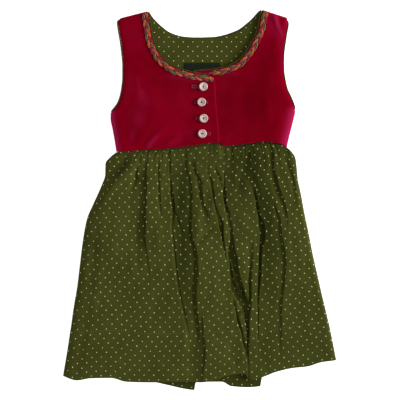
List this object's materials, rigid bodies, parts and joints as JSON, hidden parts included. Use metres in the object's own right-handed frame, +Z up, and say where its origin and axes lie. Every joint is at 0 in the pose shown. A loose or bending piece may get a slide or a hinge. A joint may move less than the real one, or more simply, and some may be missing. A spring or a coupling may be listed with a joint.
{
  "type": "dirndl",
  "caption": "Child's sleeveless dirndl laid flat, front up: velvet bodice with plaited neck braid and button front, gathered pin-dot cotton skirt.",
  "frame": {"origin": "middle of the garment's footprint, on the surface it lies on", "axes": "+X to the wearer's left, the viewer's right; +Y from the hem to the shoulders; +Z up from the surface, out of the front"},
  "size_m": [0.3974, 0.5526, 0.013],
  "materials": {
    "velvet": "cotton velvet, deep crimson, short pile with a pinkish sheen",
    "cotton": "plain-weave cotton, olive green with small pale dots",
    "cord": "cotton-covered cord, olive green",
    "braid": "plaited trim, crimson, orange and olive strands",
    "label": "woven satin label, very dark green, blank",
    "button": "pearly off-white, polished rim",
    "thread": "sewing thread, dark crimson"
  },
  "bodies": {
    "root": {"bodice_back": "velvet", "bodice_front_right": "velvet", "bodice_front_left": "velvet", "lining_back": "cotton", "label": "label", "skirt_front": "cotton", "skirt_back": "cotton", "neck_cord_front_right": "cord", "neck_cord_front_left": "cord", "neck_cord_back": "cord", "armhole_cord_front_right": "cord", "armhole_cord_front_left": "cord", "armhole_cord_back_right": "cord", "armhole_cord_back_left": "cord", "neck_braid_right": "braid", "neck_braid_left": "braid", "buttonhole_1": "thread", "buttonhole_2": "thread", "buttonhole_3": "thread", "buttonhole_4": "thread", "button_1": "button", "button_2": "button", "button_3": "button", "button_4": "button", "button_thread_1": "thread", "button_thread_2": "thread", "button_thread_3": "thread", "button_thread_4": "thread"}
  },
  "joints": []
}
